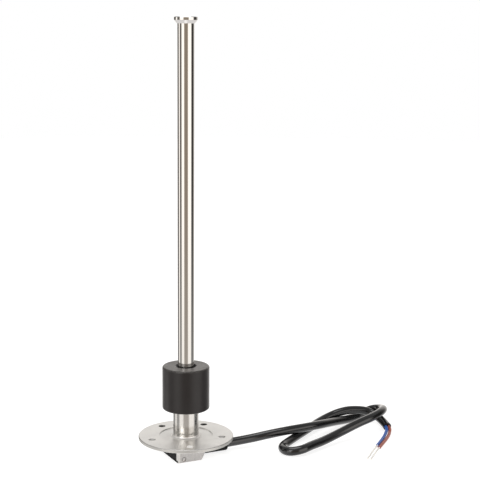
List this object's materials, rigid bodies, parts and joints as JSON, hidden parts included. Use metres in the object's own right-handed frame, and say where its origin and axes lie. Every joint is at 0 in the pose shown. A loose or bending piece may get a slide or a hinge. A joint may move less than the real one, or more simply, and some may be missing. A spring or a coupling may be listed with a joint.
{
  "type": "fuel sending unit",
  "caption": "Reed-switch fuel level sender: flanged steel guide tube with a sliding float, a cable hood and a loose stripped cable.",
  "frame": {"origin": "centre of the flange's tank-side face, on the guide tube's axis", "axes": "+Z along the guide tube to its end cap, +X the side where the cable leaves the hood"},
  "size_m": [0.2131, 0.1067, 0.32],
  "materials": {
    "satin_steel": "satin, bead blasted",
    "polished_steel": "polished stainless steel",
    "weld_steel": "weld bead",
    "float_foam": "matt closed-cell foam",
    "ferrite": "matt",
    "board_laminate": "satin lacquer",
    "capsule_glass": "clear",
    "nickel_wire": "drawn wire",
    "resistor_body": "matt",
    "blue_insulation": "smooth",
    "red_insulation": "smooth",
    "tinned_copper": "tinned",
    "solder": "bright",
    "potting_resin": "cast",
    "boot_rubber": "satin",
    "cable_sheath": "half-gloss"
  },
  "bodies": {
    "stem": {"mounting_flange": "satin_steel", "guide_tube": "polished_steel", "end_cap": "polished_steel", "stop_collar": "polished_steel", "collar_weld": "weld_steel", "reed_board": "board_laminate", "reed_glass": "capsule_glass", "reed_legs": "nickel_wire", "chip_resistors": "resistor_body", "inner_lead_blue": "blue_insulation", "inner_lead_red": "red_insulation", "lead_ends": "tinned_copper", "solder_joints": "solder", "cable_hood": "satin_steel", "potting_block": "potting_resin", "cable_boot": "boot_rubber", "cable_jacket": "cable_sheath", "core_blue": "blue_insulation", "core_red": "red_insulation", "tinned_end_blue": "tinned_copper", "tinned_end_red": "tinned_copper"},
    "float": {"float_body": "float_foam", "float_magnet": "ferrite"}
  },
  "joints": [
    {"name": "float_slide", "type": "slide", "parent": "stem", "child": "float", "axis": [0, 0, 1], "range_m": [0, 0.2473]}
  ]
}
